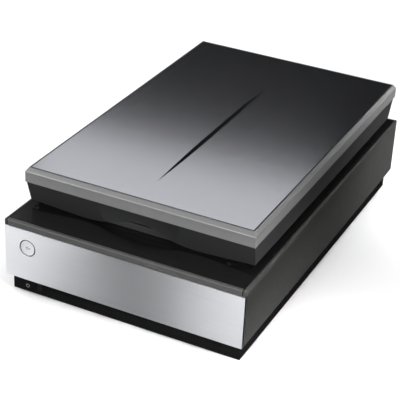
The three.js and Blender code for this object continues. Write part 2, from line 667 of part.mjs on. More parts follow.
// ---------- scanning carriage ----------
function carriage() {
  const y = carriageHomeY;
  const halfLength = CARRIAGE_LENGTH / 2;
  const wall = 3.5;
  const innerHalf = CARRIAGE_HALF_WIDTH - wall;
  const beltX = gearX - PULLEY_RADIUS - GAP - BELT_THICKNESS / 2;
  const bushRadius = ROD_RADIUS + GAP + BUSH_WALL;
  const blockHalf = bushRadius + 2.5;
  const armHalfLength = 14;
  const armBottom = RAIL_TOP + 7;
  const armThickness = 8;
  const clipHalfWidth = 3;
  const clipHalfLength = 8;
  const sliderHalf = RAIL_WIDTH / 2 - 1;
  const sliderHalfLength = 12;
  const shellBlock = box(-CARRIAGE_HALF_WIDTH, CARRIAGE_HALF_WIDTH, y - halfLength, y + halfLength,
    CARRIAGE_BOTTOM, CARRIAGE_TOP);
  const rodBlock = box(rodX - blockHalf, -CARRIAGE_HALF_WIDTH + 1, y - halfLength, y + halfLength,
    ROD_Z - blockHalf, ROD_Z + blockHalf);
  const railArm = box(CARRIAGE_HALF_WIDTH - 1, railX + RAIL_WIDTH / 2, y - armHalfLength,
    y + armHalfLength, armBottom, armBottom + armThickness);
  const clip = box(beltX - clipHalfWidth, beltX + clipHalfWidth, y - clipHalfLength,
    y + clipHalfLength, beltBottom - 1, ROD_Z - blockHalf + 1);
  const hollow = box(-innerHalf, innerHalf, y - halfLength + wall, y + halfLength - wall,
    CARRIAGE_BOTTOM + wall, CARRIAGE_TOP + 1);
  const rodBore = cylinderY(bushRadius + GAP, rodX, ROD_Z, y - halfLength - 1, y + halfLength + 1);
  const beltSlot = box(beltX - BELT_THICKNESS / 2 - GAP, beltX + BELT_THICKNESS / 2 + GAP,
    y - clipHalfLength - 1, y + clipHalfLength + 1, beltBottom - 2, beltBottom + BELT_HEIGHT + GAP);
  addPart('carriage_housing', 'inner_black',
    cut(join(shellBlock, rodBlock, railArm, clip), hollow, rodBore, beltSlot));
  const bushStarts = { front: y - halfLength, rear: y + halfLength - BUSH_LENGTH };
  for (const [name, start] of Object.entries(bushStarts)) {
    const sleeve = cylinderY(bushRadius, rodX, ROD_Z, start, start + BUSH_LENGTH);
    const bore = cylinderY(ROD_RADIUS + GAP, rodX, ROD_Z, start - 1, start + BUSH_LENGTH + 1);
    addPart(`carriage_bush_${name}`, 'gear_nylon', cut(sleeve, bore));
  }
  addPart('carriage_slider', 'gear_nylon',
    box(railX - sliderHalf, railX + sliderHalf, y - sliderHalfLength, y + sliderHalfLength,
      RAIL_TOP + GAP, armBottom - GAP));
  optics(y, innerHalf - GAP, CARRIAGE_BOTTOM + wall + GAP);
}

// The light bar, two mirrors, the lens and the sensor board sit inside the carriage.
function optics(y, half, floor) {
  const scanGap = 6;
  const barDepth = 10;
  const barHeight = 8;
  const barTop = CARRIAGE_TOP - 1;
  addPart('light_bar', 'white', box(-half, half, y + scanGap, y + scanGap + barDepth,
    barTop - barHeight, barTop));
  const tilt = Math.PI / 4;
  const mirrorWidth = 16;
  const thickness = 2;
  const foldBack = 24;
  const lowerZ = floor + 9;
  const lensZ = floor + 26;
  const mirrors = [
    { name: 'mirror_lower', offset: 0, z: lowerZ, angle: tilt },
    { name: 'mirror_upper', offset: -foldBack, z: lensZ, angle: -tilt },
  ];
  for (const { name, offset, z, angle } of mirrors) {
    const plate = new THREE.BoxGeometry(2 * half, mirrorWidth, thickness);
    addPart(name, 'mirror', plate.rotateX(angle).translate(0, y + offset, z));
  }
  const barrelRadius = 9;
  const barrelFrontY = y + 7;
  const barrelRearY = barrelFrontY + 21;
  const mountHalf = 14;
  const mountFrontY = barrelFrontY + 2;
  const mountRearY = barrelRearY - 4;
  const mountBlock = box(-mountHalf, mountHalf, mountFrontY, mountRearY, floor, lensZ);
  const barrel = cylinderY(barrelRadius, 0, lensZ, barrelFrontY, barrelRearY);
  addPart('lens_unit', 'inner_black', join(mountBlock, barrel));
  const sensorHalf = 38;
  const sensorY = barrelRearY + 4;
  const sensorTop = lensZ + 14;
  addPart('sensor_board', 'board_green',
    box(-sensorHalf, sensorHalf, sensorY, sensorY + BOARD_THICKNESS, floor, sensorTop));
}

// ---------- hinge sockets, sliding posts and pins ----------
function hinges() {
  const pinHalf = POST_WIDTH / 2 + 2 * GAP + HINGE_EAR_THICKNESS + 1;
  for (const [sign, name] of [[-1, 'left'], [1, 'right']]) {
    const x = sign * HINGE_X;
    const outer = box(x - socketOuterHalf, x + socketOuterHalf, postFrontY - GAP - SOCKET_WALL, rearY,
      socketBottom, DECK_TOP - GAP);
    const bore = box(x - postSlotHalf, x + postSlotHalf, postFrontY - GAP, postRearY + GAP,
      socketBottom + SOCKET_WALL, DECK_TOP + 1);
    addPart(`hinge_socket_${name}`, 'inner_black', cut(outer, bore));
    const blade = box(x - POST_WIDTH / 2, x + POST_WIDTH / 2, postFrontY, postRearY,
      postBottom, HINGE_AXIS_Z);
    const knuckle = cylinderX(HINGE_KNUCKLE_RADIUS, hingeAxisY, HINGE_AXIS_Z, x - POST_WIDTH / 2,
      x + POST_WIDTH / 2, 24);
    const pinBore = cylinderX(HINGE_PIN_RADIUS + GAP, hingeAxisY, HINGE_AXIS_Z, x - pinHalf, x + pinHalf);
    addPart(`hinge_post_${name}`, 'steel', cut(join(blade, knuckle), pinBore));
    addPart(`hinge_pin_${name}`, 'steel',
      cylinderX(HINGE_PIN_RADIUS, hingeAxisY, HINGE_AXIS_Z, x - pinHalf, x + pinHalf));
    hingeArm(name, x, pinHalf);
  }
}

// Each arm is a plate under the lid frame with two ears that carry the pin.
function hingeArm(name, x, pinHalf) {
  const earInner = POST_WIDTH / 2 + 2 * GAP;
  const earOuter = earInner + HINGE_EAR_THICKNESS;
  const armTop = LID_FRAME_BOTTOM - GAP;
  const shellClearance = 0.8;
  const armThickness = 4.4;
  const armBottom = HINGE_AXIS_Z + 8.5;
  const earBend = HINGE_AXIS_Z + 15;
  const plateFrontY = lidRearY - SHELL_STEP_REAR + shellClearance;
  const plateRearY = plateFrontY + armThickness;
  const ear = [[plateFrontY, armTop], [plateFrontY, earBend]];
  const steps = 8;
  for (let step = 0; step <= steps; step += 1) {
    const angle = Math.PI + (step / steps) * Math.PI;
    ear.push([
      hingeAxisY + HINGE_KNUCKLE_RADIUS * Math.cos(angle),
      HINGE_AXIS_Z + HINGE_KNUCKLE_RADIUS * Math.sin(angle),
    ]);
  }
  ear.push([plateRearY, armTop]);
  const ears = [-1, 1].map((sign) => prismX(ear, x + Math.min(sign * earInner, sign * earOuter),
    x + Math.max(sign * earInner, sign * earOuter)));
  const plate = box(x - earOuter, x + earOuter, plateFrontY, plateRearY, armBottom, armTop);
  const pinBore = cylinderX(HINGE_PIN_RADIUS + GAP, hingeAxisY, HINGE_AXIS_Z,
    x - pinHalf - 1, x + pinHalf + 1);
  addPart(`hinge_arm_${name}`, 'steel', cut(join(plate, ...ears), pinBore));
}

// ---------- lid ----------
function lidFrame() {
  const chamferBottom = HEIGHT - LID_CHAMFER_HEIGHT;
  const pocketInset = LID_CHAMFER_INSET + 0.5;
  const inset = LID_CHAMFER_INSET;
  const skirt = box(-lidHalf, lidHalf, lidFrontY, lidRearY, LID_FRAME_BOTTOM, chamferBottom);
  const crown = taperedBlock(
    [lidHalf, lidFrontY, lidRearY, chamferBottom],
    [lidHalf - inset, lidFrontY + inset, lidRearY - inset, HEIGHT]);
  const pocket = box(-lidHalf + pocketInset, lidHalf - pocketInset, lidFrontY + pocketInset,
    lidRearY - pocketInset, HEIGHT - LID_PLATE_THICKNESS - GAP, HEIGHT + 1);
  const opening = box(-lidHalf + LID_FRAME_WALL, lidHalf - LID_FRAME_WALL, lidFrontY + LID_FRAME_WALL,
    lidRearY - LID_FRAME_WALL, LID_FRAME_BOTTOM - 1, HEIGHT + 1);
  addPart('lid_frame', 'lid_grey', cut(join(skirt, crown), pocket, opening));
}

// The plate has a V-shaped groove along its middle that narrows to a point at both ends.
function lidTopPlate() {
  const inset = LID_CHAMFER_INSET + 0.5 + LID_PLATE_SEAM;
  const plate = box(-lidHalf + inset, lidHalf - inset, lidFrontY + inset, lidRearY - inset,
    HEIGHT - LID_PLATE_THICKNESS, HEIGHT);
  const centreY = lidFrontY + GROOVE_FRONT_MARGIN + GROOVE_HALF_LENGTH;
  const lift = 0.5;
  const mouthHalf = GROOVE_HALF_WIDTH * (1 + lift / GROOVE_DEPTH);
  const steps = 16;
  const corners = [-1, 1].map((side) => new THREE.Vector3(
    0, centreY + side * GROOVE_HALF_LENGTH * GROOVE_FLOOR_SHARE, HEIGHT - GROOVE_DEPTH));
  for (let step = 0; step <= steps; step += 1) {
    const along = -1 + 2 * step / steps;
    const half = mouthHalf * (1 - along * along);
    const y = centreY + GROOVE_HALF_LENGTH * along;
    corners.push(new THREE.Vector3(-half, y, HEIGHT + lift));
    if (half > 0) corners.push(new THREE.Vector3(half, y, HEIGHT + lift));
  }
  addPart('lid_top_plate', 'lid_plate', cut(plate, new ConvexGeometry(corners)));
}

const shellSlope = (z) => (shellTop - z) / (shellTop - shellBottom);
const shellHalf = (z) => lidHalf - SHELL_STEP_SIDE - SHELL_TAPER_SIDE * shellSlope(z);
const shellFrontY = (z) => lidFrontY + SHELL_STEP_FRONT + SHELL_TAPER_FRONT * shellSlope(z);
const shellRearY = (z) => lidRearY - SHELL_STEP_REAR - SHELL_TAPER_REAR * shellSlope(z);

const shellSection = (z, sideWall, frontWall) => [
  shellHalf(z) - sideWall, shellFrontY(z) + frontWall, shellRearY(z) - sideWall, z,
];

// The front edge dips on both sides of the finger scoop and rises over it.
function scoopEdgeZ(x) {
  const across = Math.min(1, Math.abs(x) / lidHalf);
  const nearScoop = Math.min(1, Math.abs(x) / (1.5 * SCOOP_HALF_WIDTH));
  const dip = SCOOP_DIP * Math.sin(Math.PI * across) ** 2;
  const rise = SCOOP_RISE * (0.5 + 0.5 * Math.cos(Math.PI * nearScoop));
  return SHELL_SIDE_BOTTOM - dip + rise;
}

function lidShell() {
  const body = taperedBlock(shellSection(shellBottom, 0, 0), shellSection(shellTop, 0, 0));
  const hollow = taperedBlock(shellSection(shellBottom - 1, WALL, SHELL_FRONT_WALL),
    shellSection(shellTop + 1, WALL, SHELL_FRONT_WALL));
  const sweepEndY = lidFrontY + SHELL_CORNER_SWEEP;
  const sideCut = box(-halfWidth, halfWidth, sweepEndY, rearY, 0, SHELL_SIDE_BOTTOM);
  const steps = 32;
  const edge = [[halfWidth, 0], [-halfWidth, 0]];
  for (let step = 0; step <= steps; step += 1) {
    const x = -halfWidth + step * WIDTH / steps;
    edge.push([x, scoopEdgeZ(x)]);
  }
  const frontCut = prismY(edge, frontY, sweepEndY);
  const dishHeight = 26;
  const dishReach = 20;
  const reachShare = Math.sqrt(1 - ((dishReach - SCOOP_DEPTH) / dishReach) ** 2);
  const dishZ = SHELL_SIDE_BOTTOM;
  const dish = new THREE.SphereGeometry(1, 40, 24)
    .scale(SCOOP_HALF_WIDTH / reachShare, dishReach, dishHeight / reachShare)
    .translate(0, shellFrontY(dishZ) + SCOOP_DEPTH - dishReach, dishZ);
  addPart('lid_shell', 'black', cut(body, hollow, sideCut, frontCut, dish));
}

const matLap = 2;
const matHalf = GLASS_WIDTH / 2 + matLap;
const matFrontY = glassFrontY - matLap;
const matRearY = glassRearY + matLap;
const undersideBottom = DECK_TOP + GAP;
const plateBottom = SHELL_SIDE_BOTTOM + GAP;
const plateTop = plateBottom + WALL;
const windowHalf = 105;
const windowHalfLength = 140;
const windowLap = 4;

function lidUnderside() {
  const half = shellHalf(plateBottom) - WALL - GAP;
  const plate = box(-half, half, shellFrontY(plateBottom) + SHELL_FRONT_WALL + GAP,
    shellRearY(plateBottom) - WALL - GAP, plateBottom, plateTop);
  const skirt = box(-half + SKIRT_MARGIN, half - SKIRT_MARGIN,
    shellFrontY(shellBottom) + SHELL_FRONT_WALL + 1,
    shellRearY(plateBottom) - WALL - SKIRT_MARGIN, undersideBottom, plateBottom + 1);
  const clearance = 0.5;
  const matRecess = box(-matHalf - clearance, matHalf + clearance, matFrontY - MAT_TRAVEL - clearance,
    matRearY + clearance, undersideBottom - 1, undersideBottom + MAT_THICKNESS + GAP);
  const aperture = box(-windowHalf, windowHalf, glassY - windowHalfLength, glassY + windowHalfLength,
    undersideBottom - 1, plateTop + 1);
  addPart('lid_underside', 'inner_black', cut(join(plate, skirt), matRecess, aperture));
}

function lidWindowAndMat() {
  addPart('lid_window', 'white', box(-windowHalf - windowLap, windowHalf + windowLap,
    glassY - windowHalfLength - windowLap, glassY + windowHalfLength + windowLap,
    plateTop + GAP, plateTop + GAP + WINDOW_THICKNESS));
  addPart('document_mat', 'white', box(-matHalf, matHalf, matFrontY, matRearY, undersideBottom,
    undersideBottom + MAT_THICKNESS));
}

// The lamp of the film unit runs along its own rod inside the lid.
function lidLamp() {
  const rodRadius = 3;
  const lampLift = 9;
  const lampBelow = 5;
  const lampAbove = 6;
  const lampHalfLength = 20;
  const rodOffset = 14;
  const lampZ = plateTop + WINDOW_THICKNESS + lampLift;
  const lampRodX = -windowHalf - rodOffset;
  const blockHalf = rodRadius + GAP + 3;
  const lampRodFrontY = shellFrontY(lampZ - rodRadius) + SHELL_FRONT_WALL + GAP;
  const lampRodRearY = shellRearY(lampZ - rodRadius) - WALL - GAP;
  addPart('lid_guide_rod', 'steel', cylinderY(rodRadius, lampRodX, lampZ, lampRodFrontY, lampRodRearY));
  const lamp = box(-windowHalf, windowHalf, carriageHomeY - lampHalfLength, carriageHomeY + lampHalfLength,
    lampZ - lampBelow, lampZ + lampAbove);
  const block = box(lampRodX - blockHalf, -windowHalf + 1, carriageHomeY - lampHalfLength,
    carriageHomeY + lampHalfLength, lampZ - lampBelow - 1, lampZ + blockHalf);
  const bore = cylinderY(rodRadius + GAP, lampRodX, lampZ, carriageHomeY - lampHalfLength - 1,
    carriageHomeY + lampHalfLength + 1);
  addPart('lid_lamp_carriage', 'inner_black', cut(join(lamp, block), bore));
}

lowerCase();
feet();
sidePanels();
frontPanel();
rearPanel();
deck();
deckTrim();
documentGlass();
calibrationStrip();
connectors();
boards();
flatCable();
buttons();
transportLock();
railsAndRod();
gearTrain();
driveBelt();
tensionSpring();
carriage();
hinges();
lidFrame();
lidTopPlate();
lidShell();
lidUnderside();
lidWindowAndMat();
lidLamp();

export default scanner;
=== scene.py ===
"""Flatbed scanner with a film-scanning lid: finishes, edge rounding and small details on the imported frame.

Units are metres. X runs across the width, -Y is the front with the start button, +Z is up.
"""

import json
import math

import bpy
from mathutils import Quaternion, Vector
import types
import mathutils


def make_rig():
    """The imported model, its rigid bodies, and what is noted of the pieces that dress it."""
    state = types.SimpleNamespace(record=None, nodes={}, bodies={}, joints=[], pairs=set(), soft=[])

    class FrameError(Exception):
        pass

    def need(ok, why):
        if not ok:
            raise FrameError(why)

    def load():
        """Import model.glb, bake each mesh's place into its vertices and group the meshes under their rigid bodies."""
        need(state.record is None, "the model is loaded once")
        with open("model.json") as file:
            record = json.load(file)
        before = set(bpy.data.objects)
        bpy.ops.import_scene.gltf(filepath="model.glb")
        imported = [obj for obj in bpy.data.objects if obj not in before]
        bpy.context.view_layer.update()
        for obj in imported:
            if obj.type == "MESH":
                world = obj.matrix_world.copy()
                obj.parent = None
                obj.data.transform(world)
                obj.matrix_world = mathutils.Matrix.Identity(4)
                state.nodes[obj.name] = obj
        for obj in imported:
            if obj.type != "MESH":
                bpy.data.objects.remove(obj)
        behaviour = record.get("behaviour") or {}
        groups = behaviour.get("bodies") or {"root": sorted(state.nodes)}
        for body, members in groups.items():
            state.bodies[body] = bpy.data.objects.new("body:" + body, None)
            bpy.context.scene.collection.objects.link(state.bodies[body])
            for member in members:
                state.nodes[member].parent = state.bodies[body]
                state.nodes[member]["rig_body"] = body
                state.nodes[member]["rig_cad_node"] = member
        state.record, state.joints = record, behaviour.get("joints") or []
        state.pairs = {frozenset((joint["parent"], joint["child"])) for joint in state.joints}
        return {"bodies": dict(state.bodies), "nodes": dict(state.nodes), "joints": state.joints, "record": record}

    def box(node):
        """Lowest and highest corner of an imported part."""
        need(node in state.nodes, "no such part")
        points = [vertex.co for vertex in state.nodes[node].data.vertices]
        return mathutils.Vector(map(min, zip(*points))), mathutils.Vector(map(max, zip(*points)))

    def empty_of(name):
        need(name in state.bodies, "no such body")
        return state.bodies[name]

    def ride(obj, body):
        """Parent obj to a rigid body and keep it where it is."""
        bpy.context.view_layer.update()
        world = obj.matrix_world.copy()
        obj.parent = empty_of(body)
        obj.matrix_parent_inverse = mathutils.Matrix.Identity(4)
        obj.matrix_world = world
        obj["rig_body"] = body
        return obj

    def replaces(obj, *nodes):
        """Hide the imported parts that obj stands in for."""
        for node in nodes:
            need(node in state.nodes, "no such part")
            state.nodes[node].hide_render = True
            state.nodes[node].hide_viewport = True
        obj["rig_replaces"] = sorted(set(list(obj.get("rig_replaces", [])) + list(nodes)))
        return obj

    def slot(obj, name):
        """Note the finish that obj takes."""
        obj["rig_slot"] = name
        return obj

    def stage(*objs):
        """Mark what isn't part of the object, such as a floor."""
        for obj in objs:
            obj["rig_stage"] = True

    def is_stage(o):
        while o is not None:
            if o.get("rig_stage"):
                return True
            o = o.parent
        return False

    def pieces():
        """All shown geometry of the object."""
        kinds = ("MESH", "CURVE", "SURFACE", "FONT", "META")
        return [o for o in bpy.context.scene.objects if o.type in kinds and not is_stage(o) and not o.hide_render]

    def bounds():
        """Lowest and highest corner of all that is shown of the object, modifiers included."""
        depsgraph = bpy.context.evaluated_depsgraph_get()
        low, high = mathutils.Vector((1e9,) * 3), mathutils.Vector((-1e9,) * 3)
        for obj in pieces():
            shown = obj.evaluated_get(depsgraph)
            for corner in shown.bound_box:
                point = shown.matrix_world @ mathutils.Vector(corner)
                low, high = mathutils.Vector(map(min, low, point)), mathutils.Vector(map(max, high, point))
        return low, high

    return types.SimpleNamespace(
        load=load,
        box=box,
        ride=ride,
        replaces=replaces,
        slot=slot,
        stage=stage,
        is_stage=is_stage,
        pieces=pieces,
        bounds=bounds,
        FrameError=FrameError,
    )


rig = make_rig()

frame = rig.load()
cad_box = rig.bounds()

MM = 0.001
LOW, HIGH = cad_box
FRONT = LOW.y
HALF_WIDTH = HIGH.x

# Angles and distances that meshes are merged, shaded and picked by.
SMOOTH_BELOW = math.radians(50)
MERGE_REACH = 0.001 * MM
FLAT_WITHIN = math.radians(1.5)
EDGE_REACH = 0.1 * MM
NEARLY_ALONG = 0.9


# ---------- working on one mesh ----------
def only(obj):
    """Selects obj alone and makes it active."""
    if bpy.context.mode != "OBJECT":
        bpy.ops.object.mode_set(mode="OBJECT")
    bpy.ops.object.select_all(action="DESELECT")
    obj.select_set(True)
    bpy.context.view_layer.objects.active = obj


def edit(obj, kind="FACE"):
    """Opens obj in edit mode with nothing selected."""
    only(obj)
    bpy.ops.object.mode_set(mode="EDIT")
    bpy.ops.mesh.select_mode(type=kind)
    bpy.ops.mesh.select_all(action="DESELECT")


def pick_faces(obj, wanted):
    """Selects the faces whose normal passes the test, and stays in edit mode."""
    edit(obj)
    bpy.ops.object.mode_set(mode="OBJECT")
    for face in obj.data.polygons:
        face.select = wanted(face.normal)
    bpy.ops.object.mode_set(mode="EDIT")


def looks_front(normal):
    """Whether a face looks to the front."""
    return normal.y < -NEARLY_ALONG


def looks_back(normal):
    """Whether a face looks to the back."""
    return normal.y > NEARLY_ALONG


def looks_down(normal):
    """Whether a face looks down."""
    return normal.z < -NEARLY_ALONG


def pick_vertices(obj, wanted):
    """Selects the vertices whose place passes the test, and stays in edit mode."""
    edit(obj, "VERT")
    bpy.ops.object.mode_set(mode="OBJECT")
    for vertex in obj.data.vertices:
        vertex.select = wanted(vertex.co)
    bpy.ops.object.mode_set(mode="EDIT")


def shift_vertices(obj, wanted, offset):
    """Moves the vertices whose place passes the test."""
    pick_vertices(obj, wanted)
    bpy.ops.transform.translate(value=offset)
    bpy.ops.object.mode_set(mode="OBJECT")


def settle(obj):
    """Puts obj's place, turn and scale into its mesh."""
    only(obj)
    bpy.ops.object.transform_apply(location=True, rotation=True, scale=True)
    return obj


def apply_bevel(obj, width, segments, angle=30):
    """Rounds the edges of obj that turn by more than an angle in degrees. Flat faces stay flat in shade."""
    only(obj)
    bevel = obj.modifiers.new("edge_rounding", "BEVEL")
    bevel.width = width
    bevel.segments = segments
    bevel.limit_method = "ANGLE"
    bevel.angle_limit = math.radians(angle)
    bevel.use_clamp_overlap = True
    bpy.ops.object.modifier_apply(modifier=bevel.name)
    bpy.ops.object.shade_smooth_by_angle(angle=SMOOTH_BELOW)
    weighted = obj.modifiers.new("flat_faces_stay_flat", "WEIGHTED_NORMAL")
    weighted.keep_sharp = True
    bpy.ops.object.modifier_apply(modifier=weighted.name)


def finish_piece(obj, name, body, slot, material):
    """Names obj, gives it its finish and lets it ride on its body."""
    obj.name = name
    obj.data.name = name
    obj.data.materials.clear()
    obj.data.materials.append(material)
    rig.ride(obj, body)
    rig.slot(obj, slot)


def widen_plate_seam(obj):
    """Draws the lid's top plate in from its frame, so that the seam around it shows as a dark line."""
    low = Vector(obj.bound_box[0])
    high = Vector(obj.bound_box[6])
    inset = 0.45 * MM
    shift_vertices(obj, lambda place: place.x < low.x + EDGE_REACH, (inset, 0.0, 0.0))
    shift_vertices(obj, lambda place: place.x > high.x - EDGE_REACH, (-inset, 0.0, 0.0))
    shift_vertices(obj, lambda place: place.y < low.y + EDGE_REACH, (0.0, inset, 0.0))
    shift_vertices(obj, lambda place: place.y > high.y - EDGE_REACH, (0.0, -inset, 0.0))


def widen_trim_seam(obj):
    """Lifts the underside of the deck's front trim, so that the seam below it shows as a dark line."""
    lift = 0.6 * MM
    underside = obj.bound_box[0][2]
    shift_vertices(obj, lambda place: place.z < underside + EDGE_REACH, (0.0, 0.0, lift))


def rounded_copy(node, name, width, segments):
    """Stands a copy in for a CAD node, with its triangles merged into faces and its edges rounded."""
    source = frame["nodes"][node]
    copy = source.copy()
    copy.data = source.data.copy()
    bpy.context.scene.collection.objects.link(copy)
    source_keys = [key for key in copy.keys() if key.startswith("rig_")]
    for key in source_keys:
        del copy[key]
    copy.parent = None
    edit(copy)
    bpy.ops.mesh.select_all(action="SELECT")
    bpy.ops.mesh.remove_doubles(threshold=MERGE_REACH)
    bpy.ops.mesh.dissolve_limited(angle_limit=FLAT_WITHIN)
    bpy.ops.object.mode_set(mode="OBJECT")
    if node in SEAMS:
        SEAMS[node](copy)
    apply_bevel(copy, width, segments)
    body = source["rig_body"]
    slot = node_slot[node]
    finish_piece(copy, name, body, slot, NODE_FINISHES.get(node, finishes[slot]))
    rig.replaces(copy, node)


# ---------- shared effects ----------
SCRATCH_SQUEEZE = 0.012
FLAT_POINTINESS = 0.53
WEAR_GAIN = 9.0


def new_group(name, inputs, outputs):
    """An empty shader node group with its sockets, as (group, input node, output node)."""
    group = bpy.data.node_groups.new(name, "ShaderNodeTree")
    for socket_name, kind, value in inputs:
        socket = group.interface.new_socket(socket_name, in_out="INPUT", socket_type=kind)
        socket.default_value = value
    for socket_name, kind in outputs:
        group.interface.new_socket(socket_name, in_out="OUTPUT", socket_type=kind)
    return group, group.nodes.new("NodeGroupInput"), group.nodes.new("NodeGroupOutput")


def math_node(tree, operation, first, second):
    """The result of a Math node whose inputs are sockets or numbers."""
    node = tree.nodes.new("ShaderNodeMath")
    node.operation = operation
    for index, value in enumerate((first, second)):
        if isinstance(value, (int, float)):
            node.inputs[index].default_value = value
        else:
            tree.links.new(value, node.inputs[index])
    return node.outputs[0]


def noise_node(tree, vector, scale, detail, roughness):
    """The value of a noise texture on a vector."""
    node = tree.nodes.new("ShaderNodeTexNoise")
    node.inputs["Detail"].default_value = detail
    node.inputs["Roughness"].default_value = roughness
    if isinstance(scale, (int, float)):
        node.inputs["Scale"].default_value = scale
    else:
        tree.links.new(scale, node.inputs["Scale"])
    tree.links.new(vector, node.inputs["Vector"])
    return node.outputs["Fac"]


def build_grain():
    """Fine moulded or painted grain: a height for bump and a tone that wavers about 1."""
    group, given, out = new_group(
        "surface_grain",
        [("Vector", "NodeSocketVector", (0, 0, 0)), ("Scale", "NodeSocketFloat", 2500.0),
         ("Mottle", "NodeSocketFloat", 0.06)],
        [("Height", "NodeSocketFloat"), ("Tone", "NodeSocketFloat")],
    )
    vector = given.outputs["Vector"]
    fine = noise_node(group, vector, given.outputs["Scale"], detail=2.0, roughness=0.5)
    broad = noise_node(group, vector, scale=14.0, detail=5.0, roughness=0.6)
    centred = math_node(group, "SUBTRACT", broad, 0.5)
    swing = math_node(group, "MULTIPLY", centred, given.outputs["Mottle"])
    group.links.new(fine, out.inputs["Height"])
    group.links.new(math_node(group, "ADD", swing, 1.0), out.inputs["Tone"])
    return group


def build_brushing():
    """Long thin scratches along X: a height for bump and a tone that wavers about 1."""
    group, given, out = new_group(
        "brushed_lines",
        [("Vector", "NodeSocketVector", (0, 0, 0)), ("Density", "NodeSocketFloat", 1500.0),
         ("Contrast", "NodeSocketFloat", 0.15)],
        [("Height", "NodeSocketFloat"), ("Tone", "NodeSocketFloat")],
    )
    stretch = group.nodes.new("ShaderNodeVectorMath")
    stretch.operation = "MULTIPLY"
    stretch.inputs[1].default_value = (SCRATCH_SQUEEZE, 1.0, 1.0)
    group.links.new(given.outputs["Vector"], stretch.inputs[0])
    lines = noise_node(group, stretch.outputs[0], given.outputs["Density"], detail=3.0, roughness=0.7)
    centred = math_node(group, "SUBTRACT", lines, 0.5)
    swing = math_node(group, "MULTIPLY", centred, given.outputs["Contrast"])
    group.links.new(lines, out.inputs["Height"])
    group.links.new(math_node(group, "ADD", swing, 1.0), out.inputs["Tone"])
    return group


def build_edge_wear():
    """Where convex edges have been rubbed: a mask from 0 to 1."""
    group, given, out = new_group(
        "edge_wear",
        [("Vector", "NodeSocketVector", (0, 0, 0)), ("Amount", "NodeSocketFloat", 0.4)],
        [("Mask", "NodeSocketFloat")],
    )
    geometry = group.nodes.new("ShaderNodeNewGeometry")
    ridge = math_node(group, "SUBTRACT", geometry.outputs["Pointiness"], FLAT_POINTINESS)
    sharp = math_node(group, "MULTIPLY", ridge, WEAR_GAIN)
    patchy = noise_node(group, given.outputs["Vector"], scale=90.0, detail=6.0, roughness=0.65)
    rubbed = math_node(group, "MULTIPLY", sharp, patchy)
    scaled = math_node(group, "MULTIPLY", rubbed, given.outputs["Amount"])
    clamp = group.nodes.new("ShaderNodeClamp")
    group.links.new(scaled, clamp.inputs["Value"])
    group.links.new(clamp.outputs[0], out.inputs["Mask"])
    return group


def build_dust():
    """Faint settled dust on faces that look up: a mask from 0 to 1."""
    group, given, out = new_group(
        "settled_dust",
        [("Vector", "NodeSocketVector", (0, 0, 0)), ("Amount", "NodeSocketFloat", 0.05)],
        [("Mask", "NodeSocketFloat")],
    )
    geometry = group.nodes.new("ShaderNodeNewGeometry")
    parts = group.nodes.new("ShaderNodeSeparateXYZ")
    group.links.new(geometry.outputs["Normal"], parts.inputs[0])
    up = math_node(group, "MAXIMUM", parts.outputs["Z"], 0.0)
    specks = noise_node(group, given.outputs["Vector"], scale=600.0, detail=3.0, roughness=0.6)
    cloud = noise_node(group, given.outputs["Vector"], scale=9.0, detail=4.0, roughness=0.6)
    both = math_node(group, "MULTIPLY", specks, cloud)
    facing = math_node(group, "MULTIPLY", both, up)
    group.links.new(math_node(group, "MULTIPLY", facing, given.outputs["Amount"]), out.inputs["Mask"])
    return group


GRAIN = build_grain()
BRUSHING = build_brushing()
EDGE_WEAR = build_edge_wear()
DUST = build_dust()


# ---------- materials ----------
DUST_COLOUR = (0.5, 0.49, 0.47)
REFRACTIVE_INDEX = 1.5
COAT_ROUGHNESS = 0.1
GLASS_SMEAR = 0.04


def place_group(tree, group, vector, **values):
    """A shader group in a material, fed with the piece's coordinates and its own values."""
    node = tree.nodes.new("ShaderNodeGroup")
    node.node_tree = group
    tree.links.new(vector, node.inputs["Vector"])
    for name, value in values.items():
        node.inputs[name].default_value = value
    return node


def mix_colours(tree, factor, first, second, blend="MIX"):
    """The result of a colour mix whose inputs are sockets, numbers or colours."""
    node = tree.nodes.new("ShaderNodeMix")
    node.data_type = "RGBA"
    node.blend_type = blend
    given = {"Factor": factor, "A": first, "B": second}
    for socket_name, value in given.items():
        socket = node.inputs[socket_name]
        if isinstance(value, (int, float)):
            socket.default_value = value
        elif isinstance(value, tuple):
            socket.default_value = (*value, 1.0)
        else:
            tree.links.new(value, socket)
    return node.outputs["Result"]


